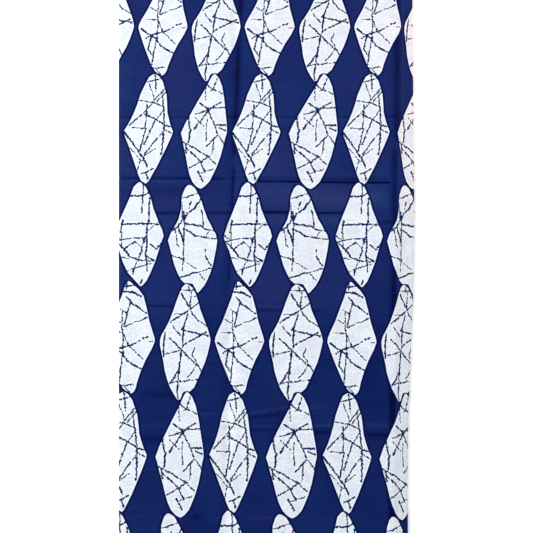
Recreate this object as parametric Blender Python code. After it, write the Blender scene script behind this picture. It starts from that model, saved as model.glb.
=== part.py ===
"""A cut length of printed cotton cloth, folded in half along its length and laid flat.

The fold runs along +X and the two raw edges lie along -X. +Y is the length, +Z is up, and the lower layer lies flat
on Z = 0. The cloth is one sheet, so it is modelled as the surface through the middle of its thickness, row by row:
each row runs over the lower layer, round the fold and back over the upper layer. Solidify gives it its thickness.
Run it with: blender --background --python part.py
"""

import math
from collections import namedtuple

import bmesh
import bpy

MM = 0.001

# Plan of the folded cloth, seen from above
LENGTH = 1.0
WIDTH = 0.5525  # from the raw edge to the fold, at the +Y end
EDGE_LEAN = 8.4 * MM  # how far the raw edge runs inwards, from the +Y end to the -Y end
FOLD_LEAN = 17.4 * MM  # the same for the fold
LOWER_INSET = 2.5 * MM  # the lower layer's raw edge lies this far inside the upper one's

# Section of the folded cloth
THICKNESS = 1.2 * MM
LAYER_GAP = 3.4 * MM
TURN_REACH = 14.0 * MM  # where the lower layer starts to lift, from the fold
NOSE_HEIGHT = 4.4 * MM  # middle of the cloth where it turns over
SHOULDER_INSET = 26.0 * MM  # the pressed line along the upper layer, from the fold
SHOULDER_HEIGHT = (10.6 * MM, 8.8 * MM)  # at the -Y end and at the +Y end
SHOULDER_SLOPE = math.radians(17.0)  # of the strip between that line and the nose
SHOULDER_RUNOUT = 85.0 * MM  # how far the upper layer takes to come down from it
SHOULDER_CREASE_SHARE = 0.35  # how much of the cross creases' depth is left on the shoulder
NOSE_GUIDE = 0.35  # shares of the rise and of the inset that shape the strip's curve
SHOULDER_GUIDE = 0.45

# Soft unevenness of the upper layer
WAVE_HEIGHT = 0.35 * MM
WAVE_LENGTH_X = 0.31
WAVE_LENGTH_Y = 0.43

# How finely the sheet is divided
LOWER_STATIONS = 7
TURN_STATIONS = 5
STRIP_STATIONS = 5
RIGHT_STATIONS = 10
LEFT_STATIONS = 7
ROW_SPACING = 34.0 * MM
RIGHT_CROWDING = 1.4  # above 1, the stations right of the long crease crowd towards the shoulder
CREASE_OFFSETS = (-1.5, -0.7, 0.0, 0.7, 1.5)  # stations across a crease, in half widths
SLANT_REACH = 60.0 * MM  # how far from the slanting crease the rows still follow it

# The main creases of the upper layer. A positive depth is a trough and a negative one a ridge. Each runs from
# start to end and fades out over its last fade.
Crease = namedtuple("Crease", "name start end depth half_width fade")
LONG_CREASE = Crease("long", (-0.053, 0.55), (-0.0732, -0.55), 2.0 * MM, 9.0 * MM, 1 * MM)
CROSS_CREASES = (
    Crease("lower_end", (-0.30, -0.464), (0.25, -0.464), 0.7 * MM, 7.0 * MM, 60 * MM),
    Crease("lower_pair_trough", (-0.12, -0.307), (0.25, -0.307), 1.3 * MM, 6.0 * MM, 60 * MM),
    Crease("lower_pair_ridge", (-0.06, -0.279), (0.16, -0.279), -1.0 * MM, 6.0 * MM, 60 * MM),
    Crease("lower_left", (-0.30, -0.239), (-0.02, -0.239), 1.1 * MM, 8.0 * MM, 60 * MM),
    Crease("middle", (-0.30, -0.080), (0.25, -0.080), 0.6 * MM, 9.0 * MM, 60 * MM),
    Crease("upper_soft", (-0.16, 0.092), (0.20, 0.091), 1.4 * MM, 8.0 * MM, 90 * MM),
    Crease("upper_sharp", (-0.30, 0.158), (0.25, 0.148), 1.5 * MM, 6.0 * MM, 40 * MM),
    Crease("upper_end", (-0.30, 0.271), (0.25, 0.271), 0.6 * MM, 9.0 * MM, 60 * MM),
)

CLOTH_COLOUR = (0.012, 0.023, 0.13, 1.0)
CLOTH_ROUGHNESS = 0.85


def mix(a, b, t):
    """The value at share t of the way from a to b."""
    return a + (b - a) * t


def ease(t):
    """0 before 0, 1 after 1, and a smooth step between."""
    t = min(max(t, 0.0), 1.0)
    return t * t * (3.0 - 2.0 * t)


def evenly(a, b, count):
    """count values from a towards b, with a left out and b the last one."""
    return [mix(a, b, (i + 1) / count) for i in range(count)]


def raw_edge_x(y):
    return -WIDTH / 2 + EDGE_LEAN * (0.5 - y / LENGTH)


def fold_x(y):
    """X of the middle of the cloth where it turns over, half a thickness inside the outline."""
    return WIDTH / 2 - THICKNESS / 2 - FOLD_LEAN * (0.5 - y / LENGTH)


def long_crease_x(y):
    (x0, y0), (x1, y1) = LONG_CREASE.start, LONG_CREASE.end
    return mix(x0, x1, (y - y0) / (y1 - y0))


def shoulder_z(y):
    return mix(SHOULDER_HEIGHT[0], SHOULDER_HEIGHT[1], 0.5 + y / LENGTH)


def crease_drop(crease, x, y):
    """How far one crease lowers the cloth: a bell across it, eased out towards its two ends."""
    (x0, y0), (x1, y1) = crease.start, crease.end
    run = math.hypot(x1 - x0, y1 - y0)
    ux, uy = (x1 - x0) / run, (y1 - y0) / run
    along = (x - x0) * ux + (y - y0) * uy
    across = (y - y0) * ux - (x - x0) * uy
    ends = ease(along / crease.fade) * ease((run - along) / crease.fade)
    return crease.depth * ends * math.exp(-((across / crease.half_width) ** 2))


def upper_z(x, y):
    """Height of the middle of the upper layer, left of the shoulder."""
    level = THICKNESS * 1.5 + LAYER_GAP
    from_shoulder = fold_x(y) - SHOULDER_INSET - x
    flat_share = ease(from_shoulder / SHOULDER_RUNOUT)
    rise = (shoulder_z(y) - level) * (1.0 - flat_share)
    wave = WAVE_HEIGHT * math.cos(math.tau * x / WAVE_LENGTH_X) * math.cos(math.tau * y / WAVE_LENGTH_Y)
    creases = sum(crease_drop(c, x, y) for c in (LONG_CREASE,) + CROSS_CREASES)
    return level + rise + flat_share * wave - mix(SHOULDER_CREASE_SHARE, 1.0, flat_share) * creases


def turn_points(y):
    """The nose of the fold: a quarter ellipse up from the lower layer."""
    points = []
    for angle in evenly(0.0, math.pi / 2, TURN_STATIONS):
        x = fold_x(y) - TURN_REACH * (1.0 - math.sin(angle))
        z = mix(THICKNESS / 2, NOSE_HEIGHT, 1.0 - math.cos(angle))
        points.append((x, z))
    return points


def strip_points(y):
    """The sloping strip: a cubic curve from the nose, upright there, to the shoulder on its own slope."""
    nose = (fold_x(y), NOSE_HEIGHT)
    shoulder = (fold_x(y) - SHOULDER_INSET, upper_z(fold_x(y) - SHOULDER_INSET, y))
    lift = (shoulder[1] - NOSE_HEIGHT) * NOSE_GUIDE
    reach = SHOULDER_INSET * SHOULDER_GUIDE
    guides = (
        nose,
        (nose[0], nose[1] + lift),
        (shoulder[0] + reach, shoulder[1] - reach * math.tan(SHOULDER_SLOPE)),
        shoulder,
    )
    points = []
    for t in evenly(0.0, 1.0, STRIP_STATIONS):
        s = 1.0 - t
        weights = (s**3, 3 * s * s * t, 3 * s * t * t, t**3)
        points.append(tuple(sum(w * g[k] for w, g in zip(weights, guides)) for k in (0, 1)))
    return points


def upper_stations(y):
    """X of the upper layer's points, from the shoulder to the raw edge, closer together across the long crease."""
    crease = long_crease_x(y)
    across = [crease - k * LONG_CREASE.half_width for k in CREASE_OFFSETS]
    shoulder = fold_x(y) - SHOULDER_INSET
    right = [mix(shoulder, across[0], t**RIGHT_CROWDING) for t in evenly(0.0, 1.0, RIGHT_STATIONS)]
    left = evenly(across[-1], raw_edge_x(y), LEFT_STATIONS)
    return right[:-1] + across + left


def section(y):
    """One row of the sheet, as (x, z) from the lower raw edge round the fold to the upper raw edge."""
    start = raw_edge_x(y) + LOWER_INSET
    flat_z = THICKNESS / 2
    lower = [(start, flat_z)]
    lower += [(x, flat_z) for x in evenly(start, fold_x(y) - TURN_REACH, LOWER_STATIONS)]
    upper = [(x, upper_z(x, y)) for x in upper_stations(y)]
    return lower + turn_points(y) + strip_points(y) + upper


def row_stations():
    """Y of each row: close together across each cross crease, and ROW_SPACING apart or less between them."""
    fixed = [-LENGTH / 2, LENGTH / 2]
    for crease in CROSS_CREASES:
        middle = (crease.start[1] + crease.end[1]) / 2
        fixed += [middle + k * crease.half_width for k in CREASE_OFFSETS]
    fixed.sort()
    rows = [fixed[0]]
    for a, b in zip(fixed, fixed[1:]):
        rows += evenly(a, b, math.ceil((b - a) / ROW_SPACING))
    return rows


def row_slant(y):
    """How much a row climbs per metre of X, so that the rows near the slanting sharp crease run along it."""
    sharp = next(c for c in CROSS_CREASES if c.name == "upper_sharp")
    (x0, y0), (x1, y1) = sharp.start, sharp.end
    middle = (y0 + y1) / 2
    return (y1 - y0) / (x1 - x0) * math.exp(-(((y - middle) / SLANT_REACH) ** 2))


def cloth_surface():
    """The mesh of the sheet's middle surface, a grid of rows and stations."""
    surface = bmesh.new()
    grid = []
    for y in row_stations():
        grid.append([surface.verts.new((x, y + row_slant(y) * x, z)) for x, z in section(y)])
    for row, next_row in zip(grid, grid[1:]):
        for i in range(len(row) - 1):
            surface.faces.new((row[i], row[i + 1], next_row[i + 1], next_row[i]))
    mesh = bpy.data.meshes.new("cloth")
    surface.to_mesh(mesh)
    surface.free()
    mesh.shade_smooth()
    return mesh


def cloth_material():
    material = bpy.data.materials.new("printed_cotton")
    material.use_nodes = True
    shader = material.node_tree.nodes["Principled BSDF"]
    shader.inputs["Base Color"].default_value = CLOTH_COLOUR
    shader.inputs["Roughness"].default_value = CLOTH_ROUGHNESS
    shader.inputs["Metallic"].default_value = 0.0
    return material


def make_cloth():
    cloth = bpy.data.objects.new("cloth", cloth_surface())
    bpy.context.scene.collection.objects.link(cloth)
    cloth.data.materials.append(cloth_material())
    solid = cloth.modifiers.new("thickness", "SOLIDIFY")
    solid.thickness = THICKNESS
    solid.offset = 0.0
    solid.use_rim = True
    return cloth


for old in list(bpy.data.objects):
    bpy.data.objects.remove(old)
make_cloth()
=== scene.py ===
"""A folded length of printed cotton on a pale floor, seen from above.

Metres, +Z up; the photograph's upwards is +Y.
"""

import math
from collections import namedtuple

import bpy
import numpy as np
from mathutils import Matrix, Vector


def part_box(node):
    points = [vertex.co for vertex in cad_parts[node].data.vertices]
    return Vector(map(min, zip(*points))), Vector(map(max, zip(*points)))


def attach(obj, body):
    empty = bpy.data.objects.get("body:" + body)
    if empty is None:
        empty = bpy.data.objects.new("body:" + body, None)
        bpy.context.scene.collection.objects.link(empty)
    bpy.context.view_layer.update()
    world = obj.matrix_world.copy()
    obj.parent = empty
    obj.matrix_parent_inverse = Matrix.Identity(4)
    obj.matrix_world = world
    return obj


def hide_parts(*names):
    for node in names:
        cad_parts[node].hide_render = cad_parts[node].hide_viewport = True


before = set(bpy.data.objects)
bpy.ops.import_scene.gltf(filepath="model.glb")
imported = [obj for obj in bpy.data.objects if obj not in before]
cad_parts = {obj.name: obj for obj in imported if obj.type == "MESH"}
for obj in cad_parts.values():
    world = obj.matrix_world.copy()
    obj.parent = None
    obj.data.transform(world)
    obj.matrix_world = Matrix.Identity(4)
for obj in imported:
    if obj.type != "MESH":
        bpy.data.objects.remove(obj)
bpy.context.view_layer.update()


# The cloth: one cut length of plain-woven cotton, folded in half along its length and laid flat, with the
# fold at +X and both raw edges at -X. The lower layer lies on the floor; the upper one keeps its pressed
# creases and rises a little to a shoulder along the fold.

MM = 0.001
LOW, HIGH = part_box("cloth")
LENGTH = HIGH.y - LOW.y
RAW_EDGE_INSET = 1.5 * MM  # from the solid's side to the raw edge at the +Y end
EDGE_LEAN = 8.4 * MM  # how far the raw edge runs inwards, from the +Y end to the -Y end
FOLD_LEAN = 16.4 * MM  # the same for the fold, all of it between the next two heights
FOLD_LEAN_START, FOLD_LEAN_END = 0.10, -0.42
LOWER_INSET = 2.5 * MM  # the lower layer's raw edge lies this far inside the upper one's
CLOTH_THICKNESS = 0.5 * MM
UPPER_LEVEL = 4.7 * MM  # middle of the upper layer where it is flat
NOSE_HEIGHT = 4.1 * MM  # middle of the cloth where it turns over
TURN_REACH = 14 * MM  # from the fold to where the lower layer starts to lift
SHOULDER_INSET = 26.2 * MM  # from the solid's side to the shoulder at the +Y end
SHOULDER_LEAN = 17.4 * MM  # how far it runs inwards, from the +Y end to the -Y end
SHOULDER_HEIGHTS = (10.6 * MM, 8.8 * MM)  # at the -Y end and at the +Y end
SHOULDER_SLOPE = math.radians(17)  # of the strip between the shoulder and the nose
SHOULDER_RUNOUT = 85 * MM  # how far the upper layer takes to come down from the shoulder
SHOULDER_CREASE_SHARE = 0.35  # how much of the creases' depth is left on the shoulder
NOSE_GUIDE = 0.35  # shares of the strip's rise and of its width that shape its curve
SHOULDER_GUIDE = 0.45
STRIP_FULLNESS = 1.28  # length of cloth taken up by fine ripples on the strip, for each length of strip

# How finely it is divided: rows along Y, and stations along each row, both crowded where there are creases
ROWS = 236
LOWER_STATIONS = 14
TURN_STATIONS = 12
STRIP_STATIONS = 16
UPPER_STATIONS = 148
RIGHT_SHARE = 0.55  # of the upper stations, right of the long crease
ROW_CROWDING = 14.0  # at a crease with a half width of 1 mm, and less at a wider one
STATION_CROWDING = 2.5
ROW_CROWD_REACH = 0.007  # as shares of the whole length and of the whole upper layer
STATION_CROWD_REACH = 0.03
CROWDING_SAMPLES = 4000

# The cloth lies pulled a little off its grain: the shares of x*y and of y*y that this adds to a place's x and
# y, and a sway to and fro along X
GRAIN_BOW_X = (0.022, -0.058)
GRAIN_BOW_Y = (-0.006, 0.047)
SWAY = 2.0 * MM
SWAY_LENGTH = 0.30
SWAY_PLACE = -0.03

# Soft waves of the upper layer: length in metres and height in millimetres, each with this many directions
WAVES = ((0.31, 0.35), (0.17, 0.16), (0.09, 0.07), (0.045, 0.03))
WAVE_DIRECTIONS = 3
WAVE_SEED = 7

# Each crease runs from start to end, in metres on the floor plan, as a bell-shaped trough (a ridge if its
# depth is negative) that fades out over the fade at each end. Depth, half width and fade are in millimetres.
Crease = namedtuple("Crease", "start end depth half_width fade")
LONG_CREASE = Crease((-0.053, 0.55), (-0.0732, -0.55), 2.0, 9.0, 1)
CREASES = (
    LONG_CREASE,
    Crease((-0.30, -0.464), (0.25, -0.464), 0.6, 6.0, 60),
    Crease((-0.12, -0.307), (0.25, -0.307), 1.2, 5.0, 60),
    Crease((-0.06, -0.279), (0.16, -0.279), -0.9, 5.0, 60),
    Crease((-0.30, -0.239), (-0.02, -0.239), 1.0, 7.0, 60),
    Crease((-0.30, -0.080), (0.25, -0.080), 0.5, 8.0, 60),
    Crease((-0.16, 0.092), (0.20, 0.091), 1.2, 7.0, 90),
    Crease((-0.30, 0.158), (0.25, 0.148), 1.3, 4.0, 40),
    Crease((-0.30, 0.271), (0.25, 0.271), 0.5, 8.0, 60),
)


def ease(t):
    """0 before 0, 1 after 1, and a smooth step between."""
    t = np.clip(t, 0.0, 1.0)
    return t * t * (3.0 - 2.0 * t)


def crowded(count, centres, reach, strengths):
    """count values from 0 to 1, closer near the centres: the running sum of a density, read backwards."""
    fine = np.linspace(0.0, 1.0, CROWDING_SAMPLES)
    density = 1.0 + sum(s * np.exp(-(((fine - c) / reach) ** 2)) for c, s in zip(centres, strengths))
    total = np.concatenate(([0.0], np.cumsum((density[1:] + density[:-1]) / 2)))
    return np.interp(np.linspace(0.0, total[-1], count), total, fine)


def raw_edge_x(y):
    return LOW.x + RAW_EDGE_INSET + EDGE_LEAN * (0.5 - y / LENGTH)


def fold_x(y):
    leaned_share = ease((FOLD_LEAN_START - y) / (FOLD_LEAN_START - FOLD_LEAN_END))
    return HIGH.x - CLOTH_THICKNESS / 2 - FOLD_LEAN * leaned_share


def shoulder_x(y):
    return HIGH.x - SHOULDER_INSET - SHOULDER_LEAN * (0.5 - y / LENGTH)


def shoulder_z(y):
    return SHOULDER_HEIGHTS[0] + (SHOULDER_HEIGHTS[1] - SHOULDER_HEIGHTS[0]) * (0.5 + y / LENGTH)


def crease_drop(crease, x, y):
    """How far a crease lowers the cloth: its depth times a bell of the distance across it, eased out at both
    ends."""
    (x0, y0), (x1, y1) = crease.start, crease.end
    run = math.hypot(x1 - x0, y1 - y0)
    ux, uy = (x1 - x0) / run, (y1 - y0) / run
    along = (x - x0) * ux + (y - y0) * uy
    across = (y - y0) * ux - (x - x0) * uy
    fade = crease.fade * MM
    ends = ease(along / fade) * ease((run - along) / fade)
    return crease.depth * MM * ends * np.exp(-((across / (crease.half_width * MM)) ** 2))


def unevenness(x, y):
    """Soft waves of a laid cloth: a sum of long cosine waves with seeded directions and starts."""
    rng = np.random.default_rng(WAVE_SEED)
    height = np.zeros(np.broadcast(x, y).shape)
    for wave_length, wave_height in WAVES:
        for _ in range(WAVE_DIRECTIONS):
            angle, start = rng.uniform(0, math.tau, 2)
            phase = (x * math.cos(angle) + y * math.sin(angle)) * math.tau / wave_length
            height = height + wave_height * MM / 2 * np.cos(phase + start)
    return height


def upper_z(x, y):
    """Height of the upper layer's middle: its level, plus rise to the shoulder, plus waves, less creases."""
    flat_share = ease((shoulder_x(y) - x) / SHOULDER_RUNOUT)
    rise = (shoulder_z(y) - UPPER_LEVEL) * (1.0 - flat_share)
    drop = sum(crease_drop(c, x, y) for c in CREASES)
    kept = SHOULDER_CREASE_SHARE + (1.0 - SHOULDER_CREASE_SHARE) * flat_share
    return UPPER_LEVEL + rise + flat_share * unevenness(x, y) - kept * drop


def cloth_middle():
    """The middle surface as an array of rows by stations by XYZ. Each row runs along the lower layer, up
    round the fold as a quarter ellipse, up the sloping strip as a cubic curve, and back over the upper
    layer."""
    cross = [0.5 + (c.start[1] + c.end[1]) / 2 / LENGTH for c in CREASES[1:]]
    crowding = [ROW_CROWDING / c.half_width**0.5 for c in CREASES[1:]]
    y = (crowded(ROWS, cross, ROW_CROWD_REACH, crowding)[:, None] - 0.5) * LENGTH
    edge, fold = raw_edge_x(y), fold_x(y)

    start = edge + LOWER_INSET
    t = np.linspace(0.0, 1.0, LOWER_STATIONS, endpoint=False)[None, :]
    lower_x = start + (fold - TURN_REACH - start) * t
    lower_z = np.full_like(lower_x, CLOTH_THICKNESS / 2)

    angle = np.linspace(0.0, math.pi / 2, TURN_STATIONS, endpoint=False)[None, :]
    turn_x = fold - TURN_REACH * (1.0 - np.sin(angle))
    turn_z = CLOTH_THICKNESS / 2 + (NOSE_HEIGHT - CLOTH_THICKNESS / 2) * (1.0 - np.cos(angle))
    turn_z = np.broadcast_to(turn_z, turn_x.shape)

    shoulder = shoulder_x(y)
    top = upper_z(shoulder, y)
    reach = (fold - shoulder) * SHOULDER_GUIDE
    lift = (top - NOSE_HEIGHT) * NOSE_GUIDE
    t = np.linspace(0.0, 1.0, STRIP_STATIONS, endpoint=False)[None, :]
    weights = ((1 - t) ** 3, 3 * (1 - t) ** 2 * t, 3 * (1 - t) * t**2, t**3)
    guides_x = (fold, fold, shoulder + reach, shoulder)
    guides_z = (NOSE_HEIGHT, NOSE_HEIGHT + lift, top - reach * math.tan(SHOULDER_SLOPE), top)
    strip_x = sum(w * g for w, g in zip(weights, guides_x))
    strip_z = sum(w * g for w, g in zip(weights, guides_z))

    (x0, y0), (x1, y1) = LONG_CREASE.start, LONG_CREASE.end
    crease = x0 + (x1 - x0) * (y - y0) / (y1 - y0)
    lines = (0.0, RIGHT_SHARE)
    t = crowded(UPPER_STATIONS, lines, STATION_CROWD_REACH, (STATION_CROWDING, STATION_CROWDING))[None, :]
    right = shoulder + (crease - shoulder) * t / RIGHT_SHARE
    left = crease + (edge - crease) * (t - RIGHT_SHARE) / (1.0 - RIGHT_SHARE)
    upper_x = np.where(t < RIGHT_SHARE, right, left)

    x = np.concatenate((lower_x, turn_x, strip_x, upper_x), axis=1)
    z = np.concatenate((lower_z, turn_z, strip_z, upper_z(upper_x, y)), axis=1)
    return np.stack((x, np.broadcast_to(y, x.shape), z), axis=2)


def flat_places(middle):
    """Where each point lies on the cloth before folding: x is the distance along its row, counted so that the
    upper layer keeps its own X, and y is its own Y. Then shares of x*y and y*y bow them off the grain, and a
    cosine of x sways them."""
    steps = np.linalg.norm(np.diff(middle, axis=1), axis=2)
    strip = slice(LOWER_STATIONS + TURN_STATIONS, LOWER_STATIONS + TURN_STATIONS + STRIP_STATIONS)
    steps[:, strip] *= STRIP_FULLNESS
    along = np.concatenate((np.zeros((len(middle), 1)), np.cumsum(steps, axis=1)), axis=1)
    x = middle[:, -1:, 0] + (along[:, -1:] - along)
    y = middle[:, :, 1]
    sway = SWAY * np.cos((x - SWAY_PLACE) * math.tau / SWAY_LENGTH)
    bowed_x = x + GRAIN_BOW_X[0] * x * y + GRAIN_BOW_X[1] * y * y + sway
    bowed_y = y + GRAIN_BOW_Y[0] * x * y + GRAIN_BOW_Y[1] * y * y
    return np.stack((bowed_x, bowed_y, np.zeros_like(x)), axis=2)


# Painted light and shade on the upper layer's navy: 1 where it lies flat, less in a pressed crease (painted
# shade), and less below the middle and above the sharp crease (painted shade), each over a fade from its start
LOWER_PAINTED_SHADE, LOWER_START, LOWER_FADE = 0.30, -0.060, 0.075
UPPER_PAINTED_SHADE, UPPER_START, UPPER_FADE = 0.05, 0.16, 0.02

# Each row adds its change to the painted shading in a bell across a line, eased out over the fade at both
# ends:
# start x and y, end x and y, change, half width, fade. All but the change are in millimetres.
# A negative change is painted shade along a crease or down the sloping strip; a positive one is a painted
# highlight.
PAINTED_SHADING_LINES = (
    (-44, 560, -58, 185, -0.80, 6.5, 30),
    (-57.5, 190, -63, 85, -0.75, 3.5, 25),
    (-68, 60, -80, -130, -0.16, 9.0, 40),
    (-65, 48, -68, -45, -0.45, 3.5, 20),
    (-262, 390, -262, 290, 0.20, 14.0, 30),
    (-290, 271, 255, 271, -0.40, 2.0, 20),
    (-290, 265.5, 255, 265.5, 0.20, 2.2, 20),
    (-275, 250, -180, 250, -0.12, 50.0, 30),
    (-40, 185, 160, 185, 0.25, 60.0, 40),
    (-275, 28, -170, 28, -0.30, 18.0, 30),
    (190, 60, 190, -320, -0.18, 45.0, 40),
    (-115, -20, -115, -170, -0.18, 40.0, 30),
    (-285, 157, -60, 156, -0.70, 2.8, 30),
    (-225, 151, -120, 151, 0.30, 1.4, 20),
    (-18, 157.5, 232, 154, -0.40, 3.6, 10),
    (-40, 151.6, 232, 147.2, -2.00, 1.9, 5),
    (-250, 134, -105, 134, -0.40, 8.0, 20),
    (-90, 138, -35, 138, -0.30, 3.0, 12),
    (-12, 138, 20, 140, -0.25, 2.2, 10),
    (-60, 126, 236, 126, 0.30, 20.0, 25),
    (60, 114, 236, 116, 0.30, 14.0, 30),
    (-275, 91.7, -30, 91.7, -0.70, 3.2, 20),
    (-15, 93.4, 62, 93.2, -1.3, 2.5, 8),
    (55, 92.2, 158, 91.5, -1.3, 1.7, 6),
    (-5, 78, 225, 76, 0.35, 8.0, 25),
    (203, 73, 233, 73, -0.55, 1.2, 5),
    (-245, -78, -150, -82, -0.60, 2.5, 15),
    (-85, -79, 112, -82, 0.22, 2.5, 20),
    (-85, -86, 112, -89, -0.50, 3.0, 20),
    (-250, -243, -100, -243, -0.25, 8.0, 30),
    (-33, -277, 48, -264, 0.50, 2.2, 10),
    (-33, -285, 50, -272, -0.30, 3.0, 10),
    (78, -266, 124, -262, 0.55, 2.6, 10),
    (-124, -270, -80, -271, -0.25, 2.2, 8),
    (-124, -276.5, -80, -276.5, 0.35, 1.8, 8),
    (-232, -298, -178, -298, 0.40, 2.4, 14),
    (-240, -322, -172, -322, -0.40, 7.0, 15),
    (-45, -299, 25, -299, 0.42, 2.4, 14),
    (-36, -307.5, 18, -307, -0.50, 1.4, 8),
    (84, -298.5, 130, -298.5, 0.62, 2.0, 8),
    (74, -311, 130, -311, -0.50, 5.0, 12),
    (180, -297, 229, -297, 0.55, 3.5, 10),
    (180, -315, 232, -315, -0.48, 6.0, 12),
    (-48, -465, 30, -465, 0.20, 3.5, 20),
    (-142, -466, -114, -464, -0.30, 6.0, 10),
    (-260, -463, -215, -463, 0.15, 3.0, 12),
    (247, 560, 244, 215, -0.60, 8.5, 20),
    (240, 220, 228, -560, -0.72, 7.5, 20),
    (258.5, 560, 254.5, 225, 0.40, 1.6, 12),
    (246.8, 205, 235.0, -560, 0.55, 1.3, 12),
)


def painted_shading_at(x, y):
    """The painted light and shade of the upper layer: 1, less the two painted shade parts, plus the lines,
    kept from 0 to 2.
    """
    lower_shade = LOWER_PAINTED_SHADE * ease((LOWER_START - y) / LOWER_FADE)
    upper_shade = UPPER_PAINTED_SHADE * ease((y - UPPER_START) / UPPER_FADE)
    painted_shading = 1.0 - lower_shade - upper_shade
    for x0, y0, x1, y1, change, half_width, fade in PAINTED_SHADING_LINES:
        line = Crease((x0 * MM, y0 * MM), (x1 * MM, y1 * MM), change, half_width, fade)
        painted_shading = painted_shading + crease_drop(line, x, y) / MM
    return np.clip(painted_shading, 0.0, 2.0)


def grid_mesh(name, points):
    """A mesh of quads over a grid of points, given as rows by columns by XYZ."""
    rows, columns = points.shape[:2]
    index = np.arange(rows * columns).reshape(rows, columns)
    quads = np.stack((index[:-1, :-1], index[:-1, 1:], index[1:, 1:], index[1:, :-1]), axis=2).reshape(-1, 4)
    mesh = bpy.data.meshes.new(name)
    mesh.vertices.add(rows * columns)
    mesh.vertices.foreach_set("co", points.astype(np.float32).ravel())
    mesh.loops.add(quads.size)
    mesh.loops.foreach_set("vertex_index", quads.astype(np.int32).ravel())
    mesh.polygons.add(len(quads))
    mesh.polygons.foreach_set("loop_start", np.arange(0, quads.size, 4, dtype=np.int32))
    mesh.update(calc_edges=True)
    mesh.shade_smooth()
    return mesh


middle = cloth_middle()
flat = flat_places(middle)
mesh = grid_mesh("folded_cloth", middle)
flat_attribute = mesh.attributes.new("flat", "FLOAT_VECTOR", "POINT")
flat_attribute.data.foreach_set("vector", flat.astype(np.float32).ravel())
# Painted light and shade on the navy: painted shade in the creases and on the strip, painted highlights beside
# them
painted_shading = painted_shading_at(middle[:, :, 0], middle[:, :, 1])
painted_shading[:, : LOWER_STATIONS + TURN_STATIONS] = 1.0  # the lower layer and the turn have no painted shade or highlight lines
painted_shading_attribute = mesh.attributes.new("painted_shading", "FLOAT", "POINT")
painted_shading_attribute.data.foreach_set("value", painted_shading.astype(np.float32).ravel())
cloth = bpy.data.objects.new("folded_cloth", mesh)
bpy.context.scene.collection.objects.link(cloth)
thickness = cloth.modifiers.new("thickness", "SOLIDIFY")
thickness.thickness = CLOTH_THICKNESS
thickness.offset = 0.0
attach(cloth, "root")
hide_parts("cloth")


# The print: navy dye with rows of tall white lozenges kept clear of it, two columns of three shapes that
# repeat, each outlined darker and crossed by fine broken crackle lines. It is dyed through, so both faces
# show it.

# The repeat, in metres on the cloth, rounded from a fit to where the shapes lie in the photograph: a step to
# the next column, a step down to the next row, the first place
COLUMN_STEP = np.array((0.1020, -0.0004, 0.0))
ROW_STEP = np.array((-0.0151, -0.1978, 0.0))
FIRST_PLACE = np.array((-0.2059, 0.4568, 0.0))
REPEAT_COLUMNS = 2.0
REPEAT_ROWS = 3.0

# Outlines, in whole millimetres about each shape's place: height, left edge and right edge. They were read off
# a ruled enlargement of the photograph, then corrected by the measured differences between its edges and a
# render's.
OUTLINES = {
    "a1": (
        (104, 0, 0), (102, -4, 4), (97, -7, 8), (88, -10, 18), (75, -14, 27), (50, -24, 33), (30, -32, 37),
        (10, -42, 43), (0, -46, 46), (-7, -47, 47), (-20, -43, 42), (-40, -36, 31), (-60, -28, 22),
        (-80, -20, 15), (-92, -13, 12), (-99, -6, 9), (-103, 2, 2),
    ),
    "a2": (
        (101, 4, 4), (99, -1, 10), (94, -7, 15), (85, -11, 21), (75, -15, 24), (60, -21, 29), (40, -26, 31),
        (25, -31, 32), (10, -37, 36), (0, -42, 39), (-12, -48, 44), (-20, -46, 42), (-40, -38, 34),
        (-60, -31, 25), (-80, -24, 16), (-95, -19, 8), (-107, -14, 2), (-114, -5, -5),
    ),
    "a3": (
        (91, 0, 0), (88, -6, 5), (80, -12, 13), (60, -18, 22), (40, -26, 27), (20, -34, 35), (10, -38, 39),
        (0, -41, 44), (-12, -45, 47), (-20, -43, 44), (-40, -34, 38), (-60, -28, 32), (-80, -19, 24),
        (-95, -6, 17), (-103, 1, 11), (-107, 5, 5),
    ),
    "b1": (
        (99, 2, 2), (97, -3, 9), (90, -8, 16), (80, -12, 21), (65, -18, 26), (50, -23, 30), (30, -31, 38),
        (15, -39, 44), (5, -45, 47), (-5, -48, 49), (-15, -48, 47), (-30, -45, 43), (-45, -42, 38),
        (-60, -40, 31), (-75, -36, 24), (-90, -31, 17), (-103, -24, 3), (-112, -18, -11), (-115, -15, -15),
    ),
    "b2": (
        (101, 17, 17), (98, 12, 22), (90, 8, 28), (75, 1, 34), (50, -13, 39), (35, -21, 41), (20, -29, 43),
        (5, -37, 45), (-5, -41, 46), (-15, -45, 46), (-25, -42, 43), (-40, -39, 40), (-60, -34, 35),
        (-80, -30, 28), (-95, -26, 21), (-107, -21, 15), (-116, -14, 7), (-120, -9, 2), (-122, -3, -3),
    ),
    "b3": (
        (86, -10, -10), (83, -16, -2), (78, -19, 3), (65, -24, 10), (55, -25, 15), (40, -25, 20),
        (20, -30, 28), (10, -35, 34), (0, -41, 39), (-8, -45, 44), (-20, -49, 47), (-35, -45, 45),
        (-50, -41, 42), (-65, -37, 39), (-80, -31, 34), (-92, -25, 29), (-103, -14, 23), (-114, 2, 14),
        (-118, 9, 9),
    ),
}
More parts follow.
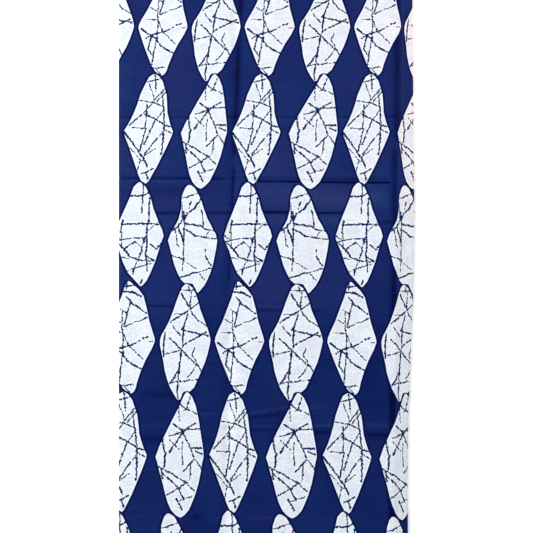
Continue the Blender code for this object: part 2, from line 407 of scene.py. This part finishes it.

# The main crackle lines, read off the same enlargement: start x and y, end x and y, from the widest to the
# thinnest
CRACKLE = {
    "a1": (
        (6, 82, 22, 75), (2, -47, 20, -57), (-9, 83, 6, 82), (-5, 74, 6, 61), (-28, -20, -18, -21),
        (-40, -9, -28, -20), (-18, -21, 2, -15), (25, -3, 34, 1), (-20, -22, -26, -48), (-18, -24, 2, -47),
        (6, 61, 32, 42), (2, 66, -4, 42), (-25, -51, -18, -61), (-11, -88, 0, -98), (-6, 92, 9, 95),
        (-4, 42, -9, 19), (2, -15, 20, -6), (-10, 6, 0, -16), (-12, -34, -17, -80), (-15, -87, 7, -86),
        (-4, 99, -5, 88), (-8, 18, 32, 36), (-25, 32, -14, 26), (-11, 8, -10, -36), (-12, 47, -12, 8),
        (-31, -29, -20, -22), (37, -7, 42, -8), (-16, 52, -2, 42), (-34, 9, -12, 9), (2, -18, 24, -40),
    ),
    "a2": (
        (-46, -14, -34, -28), (-10, -64, -2, -80), (-34, -28, -9, -64), (27, -1, 38, -3), (-7, 84, 6, 88),
        (-9, -12, -17, -50), (-10, 22, 10, 12), (26, -4, 23, -56), (-4, -92, -1, -102), (6, 88, 20, 92),
        (4, 44, 24, 35), (-16, 22, -36, 0), (10, 12, 26, 1), (21, 66, 26, 0), (8, 8, -9, -36),
        (26, -10, -8, -54), (5, 99, 8, 66), (-7, 40, -8, -9), (-32, -5, -10, -5), (-12, -92, 9, -84),
        (-15, -70, -21, -90), (28, -8, 39, -16), (6, 48, 25, 72), (10, 45, 27, 66), (-20, 48, 4, 44),
        (2, 42, -14, 23), (-5, 80, 6, 50), (24, 30, 8, 8), (-34, -44, -12, -69), (12, -44, -8, -58),
    ),
    "a3": (
        (19, 60, 18, 12), (15, -18, 14, -50), (-16, 63, 0, 63), (-30, 10, 8, 12), (-28, -34, -14, -51),
        (-14, -51, 2, -57), (8, 11, 39, 10), (16, 10, 15, -18), (-38, -24, -28, -34), (15, -50, 29, -58),
        (8, 64, 20, 71), (15, -50, 17, -77), (34, -37, 41, -26), (-28, 18, -32, -5), (-40, -22, -22, -17),
        (-24, -35, -6, -22), (12, -14, 2, -52), (-2, -60, -10, -82), (0, 63, 8, 64), (-44, -10, -30, -20),
        (2, -57, 22, -58), (8, 86, 5, 32), (-30, -5, -30, -34), (20, -26, 34, -36), (-28, -52, -14, -53),
        (35, 14, 19, -2), (-22, -17, 8, -15), (-6, -22, 8, -34), (-18, -76, 25, -62), (8, -92, 5, -101),
    ),
    "b1": (
        (-4, 15, -5, -18), (17, 74, 27, 80), (4, 41, -4, 15), (20, 8, 43, 3), (-15, -80, -17, -98),
        (-30, -1, -8, -22), (-8, -24, -15, -80), (-12, -56, -30, -83), (-7, 79, 9, 54), (12, 46, 24, 31),
        (40, 10, 30, 4), (30, 4, -6, -15), (-38, 10, -41, -34), (-23, 21, -10, 3), (-8, -22, 20, -50),
        (-18, -98, -14, -112), (6, 93, 9, 82), (10, 52, 26, 62), (9, 51, -20, 31), (24, 31, 41, 20),
        (-7, 14, 20, 8), (-28, -81, 24, -76), (11, 86, 10, 52), (12, -30, 28, -60), (17, -55, 3, -73),
        (-8, 86, 22, 86), (-2, 44, -28, 27), (-20, 42, -6, 43), (-40, -31, -8, -23), (18, -18, 12, -30),
    ),
    "b2": (
        (11, 67, 18, 69), (7, 34, 8, 26), (20, 1, 42, 1), (-26, -6, -29, -32), (-9, -88, 0, -106),
        (-9, 43, 8, 31), (21, 0, 27, -18), (-30, 15, -27, -6), (-35, -34, -32, -52), (-31, -45, -5, -68),
        (-4, -71, 5, -90), (6, 27, -19, -7), (9, 26, 21, 0), (27, -19, 6, -40), (9, 32, 30, 44),
        (21, -26, 16, -56), (29, -20, 40, -35), (-38, -32, 14, -61), (-27, -82, 12, -60), (23, 90, 15, 70),
        (12, 33, 39, 35), (-18, 22, 6, 29), (30, -4, 42, -10), (6, 12, 5, -28), (12, -62, 25, -75),
        (4, 78, 12, 70), (-6, -92, 20, -84), (18, 68, 34, 60), (1, 72, 1, 46), (-20, 17, 0, -2),
    ),
    "b3": (
        (24, -51, 34, -67), (-17, 11, 12, 8), (-27, 0, -19, -22), (13, 58, 0, 40), (-25, 12, -39, -2),
        (-20, 34, -17, 2), (12, 8, 22, 2), (-29, 10, -28, -3), (-14, 29, -25, 12), (-18, 0, -19, -30),
        (-14, 0, 2, -10), (2, -10, 22, -14), (-25, -89, 2, -80), (0, 40, -14, 29), (22, 2, 40, -2),
        (-40, -48, -19, -55), (-13, 32, -18, 14), (-20, 60, 10, 69), (-6, 52, -9, 40), (-23, 50, -21, 22),
        (-19, -34, -20, -76), (15, 36, 19, 7), (22, -14, 43, -18), (-34, -2, -31, -28), (2, -80, 34, -71),
        (22, -36, 24, -50), (30, -4, 23, -13), (-19, -57, 6, -72), (10, -79, 22, -94), (-31, -28, -27, -33),
    ),
}
CRACKLE_HALF_WIDTHS = np.linspace(1.60, 0.65, 30) * MM
SHAPES = tuple(OUTLINES)
CHART_CORNER = np.array((0.060, 0.130, 0.0))  # added to a place on a shape, so that no ramp holds a negative
CHART_HEIGHT = 0.245
OUTLINE_HALF_WIDTH = 1.8 * MM
OUTLINE_SPREAD = 0.7 * MM  # how far the outline's middle lies outside the chart
OUTLINE_SOFTNESS = 0.3 * MM
BLEED_REACH = 0.6 * MM  # of the dye into the white beside an outline
RIM_FADED, RIM_FULL = 3.5 * MM, 1.0 * MM  # distance from the dye of the cleanest white
CRACKLE_BLEND = 1.2 * MM  # over which lines that meet run together
CRACKLE_FADED, CRACKLE_FULL = 0.60 * MM, 0.10 * MM  # distance from a line's edge, less than 0 inside it
CRACKLE_CORE, CRACKLE_BRINK = -0.7 * MM, 0.4 * MM  # from the navy to the teal of a line
WANDER_REACH = 6.0 * MM
BEAD_REACH = 7.0 * MM

# Noise over the flat cloth, with scale in cells for each metre
Noise = namedtuple("Noise", "scale detail roughness")
WANDER = Noise(80.0, 3.0, 0.6)  # bends the crackle lines
BEADS = Noise(330.0, 2.0, 0.6)  # breaks them up
CLOUDS = Noise(9.0, 3.0, 0.5)  # unevenness of the glaze
STREAKS = Noise(1.0, 3.0, 0.5)  # the same along the weft, over a place stretched by the next line
STREAK_STRETCH = (14.0, 160.0, 1.0)
GRAIN = Noise(260.0, 2.0, 0.5)  # of the yarn, in both colours
PATCHES = Noise(7.0, 2.0, 0.5)  # of purple in the navy
MOTTLE = Noise(42.0, 2.0, 0.5)  # of the white
CRUMPLE = Noise(45.0, 3.0, 0.5)
CLOUD_STEP = (0.3, 0.7)  # from none to full, as shares of the noise
PATCH_STEP = (0.42, 0.62)
MOTTLE_STEP = (0.35, 0.65)
SHAPE_SEED = (11.0, 7.0, 5.0)  # moves each shape's noise elsewhere
CLOUD_SHARE = 0.24  # how much each changes the painted shading
STREAK_SHARE = 0.42
GRAIN_SHARE = 0.70
WHITE_GRAIN_SHARE = 0.60  # and the white, about the next value
WHITE_GRAIN_MIDDLE = 1.01

NAVY_BY_PAINTED_SHADING = (  # by half the painted shading: shaded and lit copies of the navy, from painted shade to painted highlight
    (0.0, (0.0000, 0.0002, 0.022)),
    (0.10, (0.0004, 0.0032, 0.052)),
    (0.25, (0.0015, 0.0115, 0.087)),
    (0.5, (0.0060, 0.0202, 0.118)),
    (0.75, (0.0140, 0.0330, 0.134)),
    (1.0, (0.0240, 0.0470, 0.149)),
)
PURPLE_TINT = (1.35, 0.87, 0.94)  # of the navy, where the dye took less evenly
OUTLINE_NAVY = (0.0004, 0.0030, 0.060)
CRACKLE_NAVY = (0.0005, 0.0100, 0.080)
CRACKLE_TEAL = (0.0120, 0.0800, 0.190)
WHITE = (0.730, 0.775, 0.820)
WHITE_SHADE = (0.665, 0.705, 0.785)
WHITE_RIM = (0.800, 0.825, 0.845)
DYE_BLEED = (0.300, 0.420, 0.680)  # in the white just beside an outline
THREAD_PITCH = 0.42 * MM
THREAD_HEIGHT = 0.02 * MM
CRUMPLE_HEIGHT = 0.25 * MM
COTTON_ROUGHNESS = 0.6
COTTON_SPECULAR = 0.045


def join(tree, kind, *inputs, **settings):
    """Adds a node, changes its settings and feeds its inputs in order, each a plain value or another node's
    socket."""
    node = tree.nodes.new(kind)
    for name, value in settings.items():
        setattr(node, name, value)
    for socket, value in zip([s for s in node.inputs if s.enabled], inputs):
        if isinstance(value, bpy.types.NodeSocket):
            tree.links.new(value, socket)
        elif value is not None:
            socket.default_value = value
    return node


def number(tree, operation, *inputs, clamp=False):
    """The result of a Math node."""
    return join(tree, "ShaderNodeMath", *inputs, operation=operation, use_clamp=clamp).outputs[0]


def arrow(tree, operation, *inputs):
    """The result of a Vector Math node: a number for a dot product or a distance, otherwise a vector."""
    outputs = join(tree, "ShaderNodeVectorMath", *inputs, operation=operation).outputs
    return next(o for o in outputs if o.enabled)


def blend_number(tree, share, a, b):
    """a where the share is 0 and b where it is 1."""
    return join(tree, "ShaderNodeMix", share, a, b, data_type="FLOAT").outputs[0]


def blend_place(tree, share, a, b):
    """The same for vectors."""
    node = join(tree, "ShaderNodeMix", share, a, b, data_type="VECTOR")
    return next(o for o in node.outputs if o.enabled)


def blend_colour(tree, share, a, b):
    """The same for colours, each a socket or a plain RGB."""
    plain = [c if isinstance(c, bpy.types.NodeSocket) else (*c, 1.0) for c in (a, b)]
    node = join(tree, "ShaderNodeMix", share, *plain, data_type="RGBA")
    return next(o for o in node.outputs if o.enabled)


def noise(tree, place, kind):
    """The outputs of a Noise Texture of one kind over a place."""
    return join(tree, "ShaderNodeTexNoise", place, *kind, noise_dimensions="3D").outputs


def from_middle(tree, share, reach, value):
    """The value plus reach times what the share has over a half."""
    return number(tree, "MULTIPLY_ADD", number(tree, "SUBTRACT", share, 0.5), reach, value)


def soft_step(tree, value, low, high):
    """0 where the value is at low, 1 at high, smooth between; low may be above high."""
    node = join(tree, "ShaderNodeMapRange", value, low, high, 0.0, 1.0, interpolation_type="SMOOTHSTEP")
    return node.outputs[0]


def ramp(tree, position, stops, interpolation):
    """A Color Ramp with one stop for each (position, RGBA), in order."""
    node = join(tree, "ShaderNodeValToRGB", position)
    node.color_ramp.interpolation = interpolation
    elements = node.color_ramp.elements
    elements[0].position = stops[0][0]
    elements[1].position = stops[-1][0]
    for place, _ in stops[1:-1]:
        elements.new(place)
    for element, (_, colour) in zip(elements, stops):
        element.color = colour
    return node


def new_group(name, inputs, outputs):
    """An empty node group with these sockets, and its input node's sockets by name."""
    tree = bpy.data.node_groups.new(name, "ShaderNodeTree")
    for direction, sockets in (("INPUT", inputs), ("OUTPUT", outputs)):
        for socket, kind in sockets.items():
            tree.interface.new_socket(socket, in_out=direction, socket_type="NodeSocket" + kind)
    return tree, tree.nodes.new("NodeGroupInput").outputs


def place_group(group, tree, *inputs):
    """Puts a group into a tree, feeds it, and gives its outputs."""
    node = tree.nodes.new("ShaderNodeGroup")
    node.node_tree = group
    for socket, value in zip(node.inputs, inputs):
        tree.links.new(value, socket)
    return list(node.outputs)


def edge_stops(name):
    """A shape's chart as ramp stops over its height: left edge, right edge, and for each the cosine of its
    slant. A stop just past each tip has the edges crossed over, so that nothing there is inside."""
    chart = np.array(OUTLINES[name][::-1], float) * MM
    heights = chart[:, 0] + CHART_CORNER[1]
    sides = chart[:, 1:] + CHART_CORNER[0] + np.array((-OUTLINE_SPREAD, OUTLINE_SPREAD))
    cosines = 1.0 / np.hypot(1.0, np.gradient(sides, heights, axis=0))
    past_tip, crossed = 1.5 * MM, 15 * MM
    below = (heights[0] - past_tip, sides[0, 0] + crossed, sides[0, 1] - crossed, 1.0, 1.0)
    above = (heights[-1] + past_tip, sides[-1, 0] + crossed, sides[-1, 1] - crossed, 1.0, 1.0)
    rows = [below, *zip(heights, *sides.T, *cosines.T), above]
    return [(row[0] / CHART_HEIGHT, row[1:]) for row in rows]


def make_shape_edges():
    """Group: how far inside its shape a place is, from the nearer of its two edges, square to that edge."""
    tree, given = new_group("shape_edges", {"Place": "Vector", "Shape": "Float"}, {"Inside": "Float"})
    across, up, _ = join(tree, "ShaderNodeSeparateXYZ", given["Place"]).outputs
    height = number(tree, "DIVIDE", up, CHART_HEIGHT)
    chosen = None
    for i, name in enumerate(SHAPES):
        edges = ramp(tree, height, edge_stops(name), "LINEAR")
        if chosen is None:
            chosen = (edges.outputs["Color"], edges.outputs["Alpha"])
            continue
        later = number(tree, "GREATER_THAN", given["Shape"], i / len(SHAPES))
        colour = blend_colour(tree, later, chosen[0], edges.outputs["Color"])
        chosen = (colour, blend_number(tree, later, chosen[1], edges.outputs["Alpha"]))
    left, right, left_cosine = join(tree, "ShaderNodeSeparateColor", chosen[0]).outputs
    from_left = number(tree, "MULTIPLY", number(tree, "SUBTRACT", across, left), left_cosine)
    from_right = number(tree, "MULTIPLY", number(tree, "SUBTRACT", right, across), chosen[1])
    join(tree, "NodeGroupOutput", number(tree, "MINIMUM", from_left, from_right))
    return tree


def make_crackle_lines():
    """Group: the distance from a place to the nearest crackle line of its shape, less half that line's
    width. For each line a ramp over the shapes holds its two ends. The nearest point is
    start + share * (end - start), with the share kept from 0 to 1."""
    tree, given = new_group("crackle_lines", {"Place": "Vector", "Shape": "Float"}, {"Distance": "Float"})
    corner = np.tile(CHART_CORNER[:2], 2)
    nearest = None
    for lines, half_width in zip(zip(*CRACKLE.values()), CRACKLE_HALF_WIDTHS):
        stops = [(i / len(SHAPES), np.array(ends) * MM + corner) for i, ends in enumerate(lines)]
        ends = ramp(tree, given["Shape"], stops, "CONSTANT").outputs
        x0, y0, x1 = join(tree, "ShaderNodeSeparateColor", ends["Color"]).outputs
        start = join(tree, "ShaderNodeCombineXYZ", x0, y0).outputs[0]
        end = join(tree, "ShaderNodeCombineXYZ", x1, ends["Alpha"]).outputs[0]
        run = arrow(tree, "SUBTRACT", end, start)
        away = arrow(tree, "SUBTRACT", given["Place"], start)
        along = arrow(tree, "DOT_PRODUCT", away, run)
        share = number(tree, "DIVIDE", along, arrow(tree, "DOT_PRODUCT", run, run))
        share = join(tree, "ShaderNodeClamp", share).outputs[0]
        foot = join(tree, "ShaderNodeVectorMath", operation="SCALE")
        tree.links.new(run, foot.inputs["Vector"])
        tree.links.new(share, foot.inputs["Scale"])
        gap = number(tree, "SUBTRACT", arrow(tree, "DISTANCE", away, foot.outputs["Vector"]), half_width)
        nearest = gap if nearest is None else number(tree, "SMOOTH_MIN", nearest, gap, CRACKLE_BLEND)
    join(tree, "NodeGroupOutput", nearest)
    return tree


def place_on_shape(tree, flat):
    """The printed shape at a place on the cloth. The column and row in the repeat give the two shapes that
    may cover it, one above the other; the lower one's tip lies over the upper one's. Gives the place from
    that shape's corner, the shape's number as a share, how white the print is, and the distance to an
    outline."""
    from_first = arrow(tree, "SUBTRACT", flat, tuple(FIRST_PLACE))
    steps = np.array((COLUMN_STEP[:2], ROW_STEP[:2]))
    to_column, to_row = np.linalg.inv(steps).T
    column = number(tree, "ROUND", arrow(tree, "DOT_PRODUCT", from_first, (*to_column, 0.0)))
    row = number(tree, "FLOOR", arrow(tree, "DOT_PRODUCT", from_first, (*to_row, 0.0)))
    upper_place = arrow(tree, "ADD", from_first, tuple(CHART_CORNER))
    upper_place = arrow(tree, "MULTIPLY_ADD", column, tuple(-COLUMN_STEP), upper_place)
    upper_place = arrow(tree, "MULTIPLY_ADD", row, tuple(-ROW_STEP), upper_place)
    lower_place = arrow(tree, "SUBTRACT", upper_place, tuple(ROW_STEP))

    own_column = number(tree, "FLOORED_MODULO", column, REPEAT_COLUMNS)
    first_in_column = number(tree, "MULTIPLY_ADD", own_column, REPEAT_ROWS, 0.5)
    shapes = []
    for either_row in (row, number(tree, "ADD", row, 1.0)):
        own_row = number(tree, "FLOORED_MODULO", either_row, REPEAT_ROWS)
        shape = number(tree, "ADD", first_in_column, own_row)
        shapes.append(number(tree, "DIVIDE", shape, float(len(SHAPES))))
    upper_shape, lower_shape = shapes

    edges = make_shape_edges()
    (upper_inside,) = place_group(edges, tree, upper_place, upper_shape)
    (lower_inside,) = place_group(edges, tree, lower_place, lower_shape)
    on_lower = number(tree, "GREATER_THAN", lower_inside, 0.0)
    shape = blend_number(tree, on_lower, upper_shape, lower_shape)
    place = blend_place(tree, on_lower, upper_place, lower_place)

    dyed, clear = OUTLINE_HALF_WIDTH - OUTLINE_SOFTNESS, OUTLINE_HALF_WIDTH + OUTLINE_SOFTNESS
    upper_white = soft_step(tree, upper_inside, dyed, clear)
    lower_white = soft_step(tree, lower_inside, dyed, clear)
    past_lower = soft_step(tree, lower_inside, -dyed, -clear)
    white = number(tree, "MAXIMUM", lower_white, number(tree, "MULTIPLY", upper_white, past_lower))
    near_lower = number(tree, "ABSOLUTE", lower_inside)
    near_upper = blend_number(tree, on_lower, number(tree, "ABSOLUTE", upper_inside), 1.0)
    return place, shape, white, number(tree, "MINIMUM", near_lower, near_upper)


def crackle_distance(tree, place, shape):
    """The distance to a crackle line's edge, less than 0 inside it, bent and beaded by noise."""
    own_place = arrow(tree, "MULTIPLY_ADD", shape, SHAPE_SEED, place)
    wander = noise(tree, own_place, WANDER)["Color"]
    most, middle = (WANDER_REACH, WANDER_REACH, 0.0), (-WANDER_REACH / 2, -WANDER_REACH / 2, 0.0)
    wander = arrow(tree, "MULTIPLY_ADD", wander, most, middle)
    (distance,) = place_group(make_crackle_lines(), tree, arrow(tree, "ADD", place, wander), shape)
    return from_middle(tree, noise(tree, own_place, BEADS)["Fac"], BEAD_REACH, distance)


def navy_and_painted_shading(tree, flat, grain, near_edge):
    """The navy, darker in painted shade and lighter in painted highlights by the painted shading, and uneven
    in clouds, streaks and grain. Patches are more purple, and the outlines are darker."""
    cloudy = soft_step(tree, noise(tree, flat, CLOUDS)["Fac"], *CLOUD_STEP)
    streaks = noise(tree, arrow(tree, "MULTIPLY", flat, STREAK_STRETCH), STREAKS)["Fac"]
    # the painted light and shade, stored on the cloth's points
    painted_shading = join(tree, "ShaderNodeAttribute", attribute_name="painted_shading").outputs["Fac"]
    painted_shading = from_middle(tree, streaks, STREAK_SHARE, painted_shading)
    painted_shading = from_middle(tree, cloudy, CLOUD_SHARE, painted_shading)
    painted_shading = from_middle(tree, grain, GRAIN_SHARE, painted_shading)
    # lit and shaded copies of the navy, from painted shade to painted highlight
    stops = [(half_shading, (*colour, 1.0)) for half_shading, colour in NAVY_BY_PAINTED_SHADING]
    navy = ramp(tree, number(tree, "DIVIDE", painted_shading, 2.0), stops, "LINEAR").outputs["Color"]

    patches = soft_step(tree, noise(tree, flat, PATCHES)["Fac"], *PATCH_STEP)
    navy = blend_colour(tree, patches, navy, arrow(tree, "MULTIPLY", navy, PURPLE_TINT))
    full, faded = OUTLINE_HALF_WIDTH - OUTLINE_SOFTNESS, OUTLINE_HALF_WIDTH + OUTLINE_SOFTNESS
    return blend_colour(tree, soft_step(tree, near_edge, faded, full), navy, OUTLINE_NAVY)


def crackled_white(tree, flat, grain, near_edge, distance):
    """The undyed white: mottled and grained, cleanest beside the dye, bluish where an outline bleeds into it,
    and crossed by the crackle lines, which are navy in their middle and teal at their edges."""
    mottle = soft_step(tree, noise(tree, flat, MOTTLE)["Fac"], *MOTTLE_STEP)
    whites = blend_colour(tree, mottle, WHITE, WHITE_SHADE)
    from_dye = number(tree, "MINIMUM", distance, number(tree, "SUBTRACT", near_edge, OUTLINE_HALF_WIDTH))
    whites = blend_colour(tree, soft_step(tree, from_dye, RIM_FADED, RIM_FULL), whites, WHITE_RIM)
    whites = arrow(tree, "MULTIPLY", whites, from_middle(tree, grain, WHITE_GRAIN_SHARE, WHITE_GRAIN_MIDDLE))
    bleed = soft_step(tree, near_edge, OUTLINE_HALF_WIDTH + BLEED_REACH, OUTLINE_HALF_WIDTH)
    whites = blend_colour(tree, bleed, whites, DYE_BLEED)
    line_colour = blend_colour(tree, soft_step(tree, distance, CRACKLE_CORE, CRACKLE_BRINK),
                               CRACKLE_NAVY, CRACKLE_TEAL)
    return blend_colour(tree, soft_step(tree, distance, CRACKLE_FADED, CRACKLE_FULL), whites, line_colour)


def thread_height(tree, flat):
    """The relief of the cloth: a plain weave, as a product of two sines, and a slight crumple."""
    across, up, _ = join(tree, "ShaderNodeSeparateXYZ", flat).outputs
    warp_thread = number(tree, "SINE", number(tree, "MULTIPLY", across, math.tau / THREAD_PITCH))
    weft_thread = number(tree, "SINE", number(tree, "MULTIPLY", up, math.tau / THREAD_PITCH))
    weave = number(tree, "MULTIPLY", number(tree, "MULTIPLY", warp_thread, weft_thread), THREAD_HEIGHT)
    return number(tree, "MULTIPLY_ADD", noise(tree, flat, CRUMPLE)["Fac"], CRUMPLE_HEIGHT, weave)


def make_printed_cotton():
    """The material: white shapes on navy dye with painted light and shade, with the relief of the threads."""
    material = bpy.data.materials.new("printed_cotton")
    material.use_nodes = True
    tree = material.node_tree
    flat = join(tree, "ShaderNodeAttribute", attribute_name="flat").outputs["Vector"]
    grain = noise(tree, flat, GRAIN)["Fac"]
    place, shape, white, near_edge = place_on_shape(tree, flat)
    distance = crackle_distance(tree, place, shape)
    navy = navy_and_painted_shading(tree, flat, grain, near_edge)
    whites = crackled_white(tree, flat, grain, near_edge, distance)
    colour = blend_colour(tree, white, navy, whites)
    bump = join(tree, "ShaderNodeBump", 1.0, 1.0)
    tree.links.new(thread_height(tree, flat), bump.inputs["Height"])

    shader = tree.nodes["Principled BSDF"]
    tree.links.new(colour, shader.inputs["Base Color"])
    tree.links.new(bump.outputs["Normal"], shader.inputs["Normal"])
    shader.inputs["Roughness"].default_value = COTTON_ROUGHNESS
    shader.inputs["Specular IOR Level"].default_value = COTTON_SPECULAR
    return material


cloth.data.materials.append(make_printed_cotton())


# The floor: a plain pale studio floor, a hair below the cloth so that the two never coincide. A slight glow
# keeps the shadow beside the cloth as pale as the photograph's. From below the floor is clear, so that the
# underside can be looked at.

FLOOR_HALF = 3.0
FLOOR_LEVEL = -0.1 * MM
FLOOR_COLOUR = (0.95, 0.95, 0.95, 1.0)
FLOOR_ROUGHNESS = 0.9
FLOOR_GLOW = 0.22
floor_mesh = bpy.data.meshes.new("floor")
corners = [(x * FLOOR_HALF, y * FLOOR_HALF, FLOOR_LEVEL) for x, y in ((-1, -1), (1, -1), (1, 1), (-1, 1))]
floor_mesh.from_pydata(corners, [], [(0, 1, 2, 3)])
floor = bpy.data.objects.new("floor", floor_mesh)
bpy.context.scene.collection.objects.link(floor)
floor_material = bpy.data.materials.new("pale_floor")
floor_material.use_nodes = True
floor_shader = floor_material.node_tree.nodes["Principled BSDF"]
floor_shader.inputs["Base Color"].default_value = FLOOR_COLOUR
floor_shader.inputs["Roughness"].default_value = FLOOR_ROUGHNESS
floor_shader.inputs["Emission Color"].default_value = (1.0, 1.0, 1.0, 1.0)
floor_shader.inputs["Emission Strength"].default_value = FLOOR_GLOW
floor_tree = floor_material.node_tree
facing_away = floor_tree.nodes.new("ShaderNodeNewGeometry").outputs["Backfacing"]
clear_shader = floor_tree.nodes.new("ShaderNodeBsdfTransparent")
either = floor_tree.nodes.new("ShaderNodeMixShader")
choices = (facing_away, floor_shader.outputs["BSDF"], clear_shader.outputs["BSDF"])
for socket, value in zip(either.inputs, choices):
    floor_tree.links.new(value, socket)
floor_tree.links.new(either.outputs["Shader"], floor_tree.nodes["Material Output"].inputs["Surface"])
floor.data.materials.append(floor_material)


# The light: an even pale sky, a broad cool window light from the upper left, and a small low warm one close
# to the fold's upper end, which tints the strip there.

SKY_COLOUR = (0.97, 0.98, 1.0, 1.0)
SKY_STRENGTH = 0.70


def add_area_light(name, place, size, power, colour):
    """A square area light aimed at the middle of the cloth."""
    lamp = bpy.data.lights.new(name, "AREA")
    lamp.size = size
    lamp.energy = power
    lamp.color = colour
    light = bpy.data.objects.new(name, lamp)
    bpy.context.scene.collection.objects.link(light)
    light.location = place
    light.rotation_euler = (-light.location).to_track_quat("-Z", "Y").to_euler()
    return light


add_area_light("window_light", place=(-2.2, 0.9, 1.7), size=1.2, power=72.0, colour=(0.95, 0.98, 1.0))
add_area_light("warm_light", place=(0.72, 0.56, 0.12), size=0.2, power=2.2, colour=(1.0, 0.45, 0.28))
world = bpy.data.worlds.new("sky")
world.use_nodes = True
world.node_tree.nodes["Background"].inputs["Color"].default_value = SKY_COLOUR
world.node_tree.nodes["Background"].inputs["Strength"].default_value = SKY_STRENGTH
bpy.context.scene.world = world
bpy.context.scene.view_settings.view_transform = "Standard"


# The camera: above the cloth, tipped a little so that the lower end is nearer.

FRAME_PIXELS = 533
FOCAL_PIXELS = 461.0
CAMERA_PLACE = (0.0023, -0.0297, 0.8512 + UPPER_LEVEL)
CAMERA_TILT = math.radians(1.5)
camera_data = bpy.data.cameras.new("camera")
camera_data.angle = 2 * math.atan(FRAME_PIXELS / 2 / FOCAL_PIXELS)
camera = bpy.data.objects.new("camera", camera_data)
bpy.context.scene.collection.objects.link(camera)
camera.location = CAMERA_PLACE
camera.rotation_euler = (CAMERA_TILT, 0.0, 0.0)
bpy.context.scene.camera = camera
